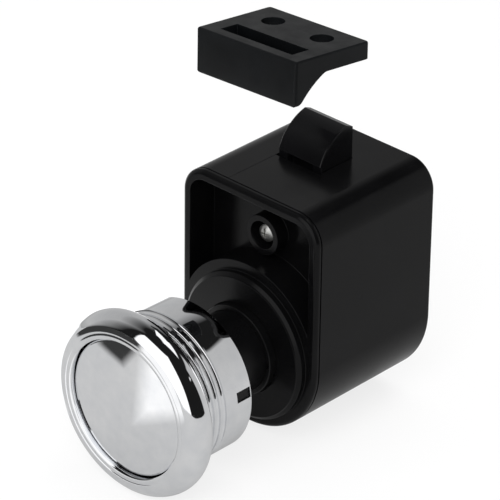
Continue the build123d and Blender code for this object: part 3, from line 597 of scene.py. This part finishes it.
def buttonProfile(s):
    # thin cup with a low dome that runs into the rounded edge
    flat = s["radius"] - s["edge"]
    profile = [(0, s["front"])]
    for k in range(1, s["domeSteps"] + 1):
        r = flat * k / s["domeSteps"]
        profile.append((r, s["front"] + s["crown"] * (r / flat)**2))
    rim = s["front"] + s["crown"]
    profile += arcPoints((flat, rim + s["edge"]), s["edge"], s["edgeStart"], 0, s["edgeSteps"])
    back = s["front"] + s["skirt"]
    inner = s["radius"] - s["wall"]
    floor = s["front"] + s["wall"]
    profile += rounded([(s["radius"], rim + s["sideStop"], 0), (s["radius"], back, s["endBend"]),
                        (inner, back, s["endBend"]), (inner, floor, s["floorBend"]), (0, floor, 0)], steps=4)
    return profile


buttonMaker = turningTree("buttonMaker", buttonInputs, chrome, False)
makeTurned("button_plated", buttonProfile(buttonSizes), buttonMaker, buttonInputs, "button", "button_cap")
print("button made")


spigotSizes = {"front": -2.6, "coneRadius": 16.7, "newFront": -2.3, "newConeRadius": 17.55, "frontNear": 0.01,
               "coneNear": 0.05}


def tightenSpigot(mesh):
    # narrow the spigot's bevel, which shows as a thin bright line
    s = spigotSizes
    for vert in mesh.verts:
        if abs(vert.co.y / mm - s["front"]) < s["frontNear"]:
            vert.co.y = s["newFront"] * mm
            radius = math.hypot(vert.co.x, vert.co.z)
            if abs(radius / mm - s["coneRadius"]) < s["coneNear"]:
                vert.co.x *= s["newConeRadius"] * mm / radius
                vert.co.z *= s["newConeRadius"] * mm / radius


seamSizes = {"openDepth": 0.75, "near": 0.01}


def closeSeam(mesh):
    # lean the cover's joint face onto the shell's behind the surface, so that no light shows through the seam
    low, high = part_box("side_cover")
    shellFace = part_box("main_shell")[0].x
    depth = seamSizes["openDepth"] * mm
    for vert in mesh.verts:
        onJoint = abs(vert.co.x - high.x) < seamSizes["near"] * mm
        behind = low.z + depth < vert.co.z < high.z - depth and vert.co.y < high.y - depth
        if onJoint and behind:
            vert.co.x = shellFace


# edge is the softened edge's width in millimetres
mouldedLooks = {
    "front_plate": {"body": "latch_body", "material": housingBlack, "slot": "housing_gloss", "edge": 0.26,
                    "reshape": tightenSpigot},
    "main_shell": {"body": "latch_body", "material": housingBlack, "slot": "housing_gloss", "edge": 0.12},
    "side_cover": {"body": "latch_body", "material": housingBlack, "slot": "housing_gloss", "edge": 0.12,
                   "reshape": closeSeam},
    "latch_bolt": {"body": "bolt", "material": boltBlack, "slot": "bolt_gloss", "edge": 0.14},
    "keeper": {"body": "latch_body", "material": keeperBlack, "slot": "keeper_satin", "edge": 0.45},
    "neck": {"body": "latch_body", "material": coreBlack, "slot": "black_satin", "edge": 0.2},
    "barrel_core": {"body": "latch_body", "material": coreBlack, "slot": "black_satin", "edge": 0.15},
}
for nodeName, look in mouldedLooks.items():
    softenedCopy(nodeName, look)
print("moulded pieces made")


# how finely the screws are drawn, and how much of the length the thread takes and how far down it ends
screwForm = {"headPoints": 64, "headRings": 10, "corePoints": 40, "turnPoints": 28, "crestPoints": 4,
             "threadShare": 0.86, "threadEnd": 0.93}


def screwTree(sizes, material):
    # at each point a screw along +Z with its seat at the origin: domed head, cross recess, core and thread
    tree, given, result = newTree("screwMaker", sizes)
    links = tree.links
    size = given.outputs

    head = tree.nodes.new("GeometryNodeMeshCylinder")
    head.fill_type = "TRIANGLE_FAN"
    head.inputs["Vertices"].default_value = screwForm["headPoints"]
    head.inputs["Fill Segments"].default_value = screwForm["headRings"]
    links.new(size["Head Radius"], head.inputs["Radius"])
    links.new(size["Rim Height"], head.inputs["Depth"])

    # the top face rises by the dome height towards the middle, as 1 - (r / radius)^2
    position = tree.nodes.new("GeometryNodeInputPosition")
    parts = tree.nodes.new("ShaderNodeSeparateXYZ")
    links.new(position.outputs["Position"], parts.inputs["Vector"])
    squared = nodeMath(tree, "ADD", nodeMath(tree, "POWER", parts.outputs["X"], 2),
                       nodeMath(tree, "POWER", parts.outputs["Y"], 2))
    share = nodeMath(tree, "DIVIDE", squared, nodeMath(tree, "POWER", size["Head Radius"], 2))
    rise = nodeMath(tree, "MULTIPLY", nodeMath(tree, "SUBTRACT", 1, share), size["Dome"])
    isTop = nodeMath(tree, "GREATER_THAN", parts.outputs["Z"], 0)
    middle = nodeMath(tree, "MULTIPLY", size["Rim Height"], 0.5)
    raised = nodeMath(tree, "ADD", nodeMath(tree, "MULTIPLY", rise, isTop), middle)
    domed = tree.nodes.new("GeometryNodeSetPosition")
    links.new(head.outputs["Mesh"], domed.inputs["Geometry"])
    links.new(joinXyz(tree, 0, 0, raised), domed.inputs["Offset"])

    # two crossed bars cut the recess one after the other
    flat = tree.nodes.new("GeometryNodeTriangulate")
    links.new(domed.outputs["Geometry"], flat.inputs["Mesh"])
    recessed = flat.outputs["Mesh"]
    top = joinXyz(tree, 0, 0, nodeMath(tree, "ADD", size["Rim Height"], size["Dome"]))
    depth = nodeMath(tree, "MULTIPLY", size["Recess Depth"], 2)
    for length, width in (("Recess Length", "Recess Width"), ("Recess Width", "Recess Length")):
        recessed = cutBar(tree, recessed, joinXyz(tree, size[length], size[width], depth), top)

    core = tree.nodes.new("GeometryNodeMeshCylinder")
    core.inputs["Vertices"].default_value = screwForm["corePoints"]
    links.new(size["Core Radius"], core.inputs["Radius"])
    links.new(size["Length"], core.inputs["Depth"])
    coreMiddle = joinXyz(tree, 0, 0, nodeMath(tree, "MULTIPLY", size["Length"], -0.5))

    # the thread follows a spiral from just under the head
    run = nodeMath(tree, "MULTIPLY", size["Length"], screwForm["threadShare"])
    spiral = tree.nodes.new("GeometryNodeCurveSpiral")
    spiral.inputs["Resolution"].default_value = screwForm["turnPoints"]
    links.new(nodeMath(tree, "DIVIDE", run, size["Pitch"]), spiral.inputs["Rotations"])
    links.new(size["Core Radius"], spiral.inputs["Start Radius"])
    links.new(size["Core Radius"], spiral.inputs["End Radius"])
    links.new(run, spiral.inputs["Height"])
    crest = tree.nodes.new("GeometryNodeCurvePrimitiveCircle")
    crest.inputs["Resolution"].default_value = screwForm["crestPoints"]
    links.new(nodeMath(tree, "SUBTRACT", size["Thread Radius"], size["Core Radius"]), crest.inputs["Radius"])
    thread = tree.nodes.new("GeometryNodeCurveToMesh")
    thread.inputs["Fill Caps"].default_value = True
    links.new(spiral.outputs["Curve"], thread.inputs["Curve"])
    links.new(crest.outputs["Curve"], thread.inputs["Profile Curve"])
    threadEnd = joinXyz(tree, 0, 0, nodeMath(tree, "MULTIPLY", size["Length"], -screwForm["threadEnd"]))

    screw = tree.nodes.new("GeometryNodeJoinGeometry")
    links.new(movedMesh(tree, thread.outputs["Mesh"], threadEnd), screw.inputs["Geometry"])
    links.new(movedMesh(tree, core.outputs["Mesh"], coreMiddle), screw.inputs["Geometry"])
    links.new(sealMesh(tree, recessed), screw.inputs["Geometry"])
    copies = tree.nodes.new("GeometryNodeInstanceOnPoints")
    links.new(size["Geometry"], copies.inputs["Points"])
    links.new(screw.outputs["Geometry"], copies.inputs["Instance"])
    links.new(eulerTurn(tree, size["Turn"]), copies.inputs["Rotation"])
    finishTree(tree, result, copies.outputs["Instances"], material)
    return tree


def makeScrews(name, node, sizes, spots):
    # one piece with a screw at every spot; spots and sizes are in millimetres
    inMetres = {label: value if label == "Turn" else value * mm for label, value in sizes.items()}
    piece = startPiece(name, spots)
    bakeNodes(piece, screwMaker, inMetres)
    shade(piece, "screws")
    placePiece(piece, "latch_body", node)


coverScrew = {
    "Head Radius": 2.4, "Rim Height": 1.1, "Dome": 0.5, "Recess Length": 2.8, "Recess Width": 0.6,
    "Recess Depth": 0.9, "Core Radius": 0.95, "Thread Radius": 1.3, "Pitch": 1.1, "Length": 12.0,
    "Turn": (0, -math.pi / 2, 0),
}
plateScrew = {
    "Head Radius": 2.15, "Rim Height": 0.9, "Dome": 0.7, "Recess Length": 2.4, "Recess Width": 0.55,
    "Recess Depth": 0.8, "Core Radius": 0.95, "Thread Radius": 1.3, "Pitch": 1.1, "Length": 7.5,
    "Turn": (math.pi / 2, 0, 0),
}
screwMaker = screwTree(coverScrew, zincSteel)
coverSeat = {"axis": 0, "reach": 1.6}
plateSeat = {"axis": 1, "reach": 0.4}


def screwSeats(node, axis, reach):
    # the seat of each screw that the CAD node holds: the middle of its loose shell, but along the one axis
    # the reach above its lowest point
    mesh = weldedMesh(node)
    seats = []
    waiting = set(mesh.verts)
    while waiting:
        shell, edge = set(), [waiting.pop()]
        while edge:
            vert = edge.pop()
            shell.add(vert)
            for other in (e.other_vert(vert) for e in vert.link_edges):
                if other in waiting:
                    waiting.discard(other)
                    edge.append(other)
        low = Vector([min(v.co[k] for v in shell) for k in range(3)])
        high = Vector([max(v.co[k] for v in shell) for k in range(3)])
        middle = (low + high) / 2 / mm
        middle[axis] = low[axis] / mm + reach
        seats.append(tuple(middle))
    mesh.free()
    return sorted(seats)


makeScrews("cover_screws_steel", "cover_screws", coverScrew, screwSeats("cover_screws", **coverSeat))
makeScrews("plate_screw_steel", "plate_screw", plateScrew, screwSeats("plate_screw", **plateSeat))
print("screws made")


# what keeps its CAD mesh only gets its finish
keptNodes = {
    "lock_clip": springSteel, "shaft_clip": springSteel, "return_spring": springSteel,
    "track_wire": springSteel, "push_shaft": turnedSteel, "bolt_pin": turnedSteel, "cap_screw": turnedSteel,
    "guide_bushes": resin, "cam_slider": resin, "cap_insert": coreBlack,
    "shaft_seal": rubber, "end_bumper": rubber,
}
for nodeName, finish in keptNodes.items():
    cadNodes[nodeName].data.materials.clear()
    cadNodes[nodeName].data.materials.append(finish)
print("kept nodes finished")


studio = {
    "floorDrop": 0.0006, "floorSize": 3.0, "floorColour": (0.9, 0.9, 0.9, 1), "floorRoughness": 0.8,
    "floorSeen": 0.8, "floorMirrored": 0.7, "floorGlow": 0.42, "worldLight": 0.45,
    "roomMiddle": (0, -0.02, -0.01), "roomRadius": 0.4, "roomShade": (0.012, 0.012),
    "roomElevations": (-8, 90), "firstPanel": 0.97, "panelStep": 0.01, "widestStep": 6,
}
# panels of the room, by azimuth and elevation in degrees; azimuth 0 is before the button, 90 to the right
roomPanels = {
    "frontWindow": {"azimuths": (-28, 48), "elevations": (-3, 63), "glow": (1.25, 1.25), "soft": 2},
    "leftWall": {"azimuths": (-172, -40), "elevations": (-24, 74), "glow": (0.60, 0.40), "soft": 30},
    "rightWindow": {"azimuths": (143, 186), "elevations": (-12, 23), "glow": (1.2, 1.2), "soft": 3},
    "backWall": {"azimuths": (117, 158), "elevations": (-16, 46), "glow": (0.64, 0.52), "soft": 3},
    "highWindow": {"azimuths": (118, 205), "elevations": (57, 83), "glow": (1.2, 1.2), "soft": 3},
    "spark": {"azimuths": (99, 110), "elevations": (35, 40), "glow": (0.9, 0.9), "soft": 2},
}
# sheets that lie on the floor round the latch, corners in millimetres
floorSheets = {
    "whiteSheet": {"corners": [(-45, -40), (-310, -46), (-310, 130), (-60, 120), (-30, 0)],
                   "glow": 1.2, "soft": 14},
    "whiteStrip": {"corners": [(-21, -72), (-46, -109), (-142, -320), (-16, -320), (0, -110)],
                   "glow": 1.12, "soft": 13},
    "darkSheet": {"corners": [(-48, -88), (-120, -96), (-320, -190), (-320, -320), (-156, -320), (-58, -118)],
                  "glow": 0.045, "soft": 7},
}


def makeFloor():
    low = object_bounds()[0].z - studio["floorDrop"]
    reach = studio["floorSize"]
    corners = [(-reach, -reach, low), (reach, -reach, low), (reach, reach, low), (-reach, reach, low)]
    data = bpy.data.meshes.new("floor")
    data.from_pydata(corners, [], [(0, 1, 2, 3)])
    floor = bpy.data.objects.new("floor", data)
    bpy.context.scene.collection.objects.link(floor)
    material = bpy.data.materials.new("paleFloor")
    material.use_nodes = True
    nodes, links = material.node_tree.nodes, material.node_tree.links
    shader = nodes["Principled BSDF"]
    shader.inputs["Base Color"].default_value = studio["floorColour"]
    shader.inputs["Roughness"].default_value = studio["floorRoughness"]
    # white to the camera and pale grey in the chrome, with the rest of its light real, so the shadow stays
    seen = nodes.new("ShaderNodeLightPath")
    toCamera = spread(nodes, links, seen.outputs["Is Camera Ray"], 0, studio["floorSeen"], 0, 1)
    toMirror = spread(nodes, links, seen.outputs["Is Glossy Ray"], 0, studio["floorMirrored"], 0, 1)
    share = nodes.new("ShaderNodeMath")
    share.operation = "MAXIMUM"
    links.new(toCamera, share.inputs[0])
    links.new(toMirror, share.inputs[1])
    glow = nodes.new("ShaderNodeEmission")
    links.new(spread(nodes, links, seen.outputs["Is Camera Ray"], studio["floorGlow"], 1, 0, 1),
              glow.inputs["Strength"])
    add = nodes.new("ShaderNodeMixShader")
    links.new(share.outputs["Value"], add.inputs["Fac"])
    links.new(shader.outputs["BSDF"], add.inputs[1])
    links.new(glow.outputs["Emission"], add.inputs[2])
    links.new(add.outputs["Shader"], nodes["Material Output"].inputs["Surface"])
    data.materials.append(material)
    floor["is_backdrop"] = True


def stageCard(name, mesh, low, high, bottom, top):
    # a glowing sheet that only reflections see; its strength runs from low at the bottom to high at the top,
    # and it thins out where the mesh's fade value falls to 0
    data = bpy.data.meshes.new(name)
    mesh.to_mesh(data)
    mesh.free()
    card = bpy.data.objects.new(name, data)
    bpy.context.scene.collection.objects.link(card)
    material = bpy.data.materials.new(name)
    material.use_nodes = True
    nodes, links = material.node_tree.nodes, material.node_tree.links
    nodes.remove(nodes["Principled BSDF"])
    place = nodes.new("ShaderNodeTexCoord")
    parts = nodes.new("ShaderNodeSeparateXYZ")
    links.new(place.outputs["Object"], parts.inputs["Vector"])
    glow = nodes.new("ShaderNodeEmission")
    links.new(spread(nodes, links, parts.outputs["Z"], low, high, bottom, top), glow.inputs["Strength"])
    fade = nodes.new("ShaderNodeAttribute")
    fade.attribute_name = "fade"
    veil = nodes.new("ShaderNodeMixShader")
    links.new(fade.outputs["Fac"], veil.inputs["Fac"])
    links.new(nodes.new("ShaderNodeBsdfTransparent").outputs["BSDF"], veil.inputs[1])
    links.new(glow.outputs["Emission"], veil.inputs[2])
    links.new(veil.outputs["Shader"], nodes["Material Output"].inputs["Surface"])
    data.materials.append(material)
    card.visible_camera = False
    card.visible_diffuse = False
    card.visible_transmission = False
    card.visible_shadow = False
    card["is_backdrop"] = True


def gridSteps(low, high, soft):
    # stops from low to high with one more inside each end, where the fade begins
    count = math.ceil((high - low - 2 * soft) / studio["widestStep"])
    inner = [low + soft + (high - low - 2 * soft) * k / count for k in range(count + 1)]
    return [low, *inner, high] if soft else inner


def makeRoomPanel(name, azimuths, elevations, radius, glow, soft):
    mesh = bmesh.new()
    fade = mesh.verts.layers.float.new("fade")
    middle = Vector(studio["roomMiddle"])
    across = gridSteps(*azimuths, soft)
    upward = gridSteps(*elevations, soft)
    rows = []
    for elevation in upward:
        e = math.radians(elevation)
        row = []
        for azimuth in across:
            a = math.radians(azimuth)
            way = Vector((math.sin(a) * math.cos(e), -math.cos(a) * math.cos(e), math.sin(e)))
            vert = mesh.verts.new(middle + way * radius)
            vert[fade] = 0 if soft and (elevation in elevations or azimuth in azimuths) else 1
            row.append(vert)
        rows.append(row)
    for i in range(len(upward) - 1):
        for j in range(len(across) - 1):
            mesh.faces.new((rows[i][j], rows[i][j + 1], rows[i + 1][j + 1], rows[i + 1][j]))
    heights = [middle.z + radius * math.sin(math.radians(e)) for e in elevations]
    stageCard(name, mesh, *glow, *heights)


def makeFloorSheet(name, corners, level, glow, soft):
    # a flat sheet with a rim of the given width over which it fades out
    mesh = bmesh.new()
    fade = mesh.verts.layers.float.new("fade")
    middle = sum((Vector(corner) for corner in corners), Vector((0, 0))) / len(corners)
    inner, outer = [], []
    for corner in corners:
        away = (Vector(corner) - middle).normalized() * soft
        inner.append(mesh.verts.new((corner[0] * mm, corner[1] * mm, level)))
        inner[-1][fade] = 1
        outer.append(mesh.verts.new(((corner[0] + away.x) * mm, (corner[1] + away.y) * mm, level)))
    mesh.faces.new(inner)
    for k in range(len(corners)):
        n = (k + 1) % len(corners)
        mesh.faces.new((inner[k], inner[n], outer[n], outer[k]))
    bmesh.ops.triangulate(mesh, faces=mesh.faces)
    stageCard(name, mesh, glow, glow, level, level + 1)


def makeCards():
    radius = studio["roomRadius"]
    makeRoomPanel("darkRoom", (0, 360), studio["roomElevations"], radius, studio["roomShade"], 0)
    # each panel stands a little further in than the one before, and the sheets lie one over the other
    for k, (name, panel) in enumerate(roomPanels.items()):
        share = studio["firstPanel"] - studio["panelStep"] * k
        makeRoomPanel(name, panel["azimuths"], panel["elevations"], radius * share, panel["glow"],
                      panel["soft"])
    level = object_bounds()[0].z - studio["floorDrop"] / 2
    for name, sheet in floorSheets.items():
        makeFloorSheet(name, sheet["corners"], level, sheet["glow"], sheet["soft"])
        level += studio["floorDrop"] / 16


def makeWorld():
    # full white to the camera and in reflections, dimmer as the light that falls on things
    world = bpy.data.worlds.new("studio")
    bpy.context.scene.world = world
    world.use_nodes = True
    nodes, links = world.node_tree.nodes, world.node_tree.links
    background = nodes["Background"]
    background.inputs["Color"].default_value = (1, 1, 1, 1)
    seen = nodes.new("ShaderNodeLightPath")
    direct = seen.outputs["Is Camera Ray"]
    for ray in ("Is Glossy Ray", "Is Transmission Ray"):
        either = nodes.new("ShaderNodeMath")
        either.operation = "MAXIMUM"
        links.new(direct, either.inputs[0])
        links.new(seen.outputs[ray], either.inputs[1])
        direct = either.outputs["Value"]
    links.new(spread(nodes, links, direct, studio["worldLight"], 1, 0, 1), background.inputs["Strength"])


lamps = {
    "keyLamp": {"place": (0.35, -0.55, 0.6), "aim": (0, 0, 0.02), "size": (0.5, 0.5), "power": 5.0},
    "fillLamp": {"place": (-0.6, -0.4, 0.25), "aim": (0, 0, 0.02), "size": (0.4, 0.6), "power": 2.2},
    "topLamp": {"place": (0.1, 0.25, 0.75), "aim": (0, 0, 0.03), "size": (0.6, 0.6), "power": 3.0},
}


def addLamp(name, given):
    data = bpy.data.lights.new(name, "AREA")
    data.shape = "RECTANGLE"
    data.size, data.size_y = given["size"]
    data.energy = given["power"]
    lamp = bpy.data.objects.new(name, data)
    bpy.context.scene.collection.objects.link(lamp)
    lamp.location = given["place"]
    lamp.rotation_mode = "QUATERNION"
    lamp.rotation_quaternion = (Vector(given["aim"]) - Vector(given["place"])).to_track_quat("-Z", "Y")
    lamp.visible_glossy = False


# fitted to the photograph; angles in degrees, focal length in the photograph's pixels
photoView = {"azimuth": 43.234, "elevation": 29.78, "roll": 0.758, "distance": 0.83967,
             "aim": (0.494, 0, 25.03), "focal": 3695.99, "pixels": 500, "sensor": 36}


def addCamera():
    azimuth, elevation, roll = (math.radians(photoView[key]) for key in ("azimuth", "elevation", "roll"))
    back = Vector((math.sin(azimuth) * math.cos(elevation), -math.cos(azimuth) * math.cos(elevation),
                   math.sin(elevation)))
    right = Vector((math.cos(azimuth), math.sin(azimuth), 0))
    up = back.cross(right)
    rightRolled = math.cos(roll) * right + math.sin(roll) * up
    upRolled = -math.sin(roll) * right + math.cos(roll) * up
    data = bpy.data.cameras.new("camera")
    data.sensor_width = photoView["sensor"]
    data.lens = photoView["focal"] / photoView["pixels"] * photoView["sensor"]
    data.clip_start, data.clip_end = 0.01, 20
    camera = bpy.data.objects.new("camera", data)
    bpy.context.scene.collection.objects.link(camera)
    place = Vector(photoView["aim"]) * mm + back * photoView["distance"]
    camera.matrix_world = Matrix((
        (rightRolled.x, upRolled.x, back.x, place.x),
        (rightRolled.y, upRolled.y, back.y, place.y),
        (rightRolled.z, upRolled.z, back.z, place.z),
        (0, 0, 0, 1)))
    bpy.context.scene.camera = camera


makeFloor()
makeWorld()
makeCards()
for lampName, lampGiven in lamps.items():
    addLamp(lampName, lampGiven)
addCamera()
bpy.context.scene.view_settings.view_transform = "Standard"
print("studio ready")
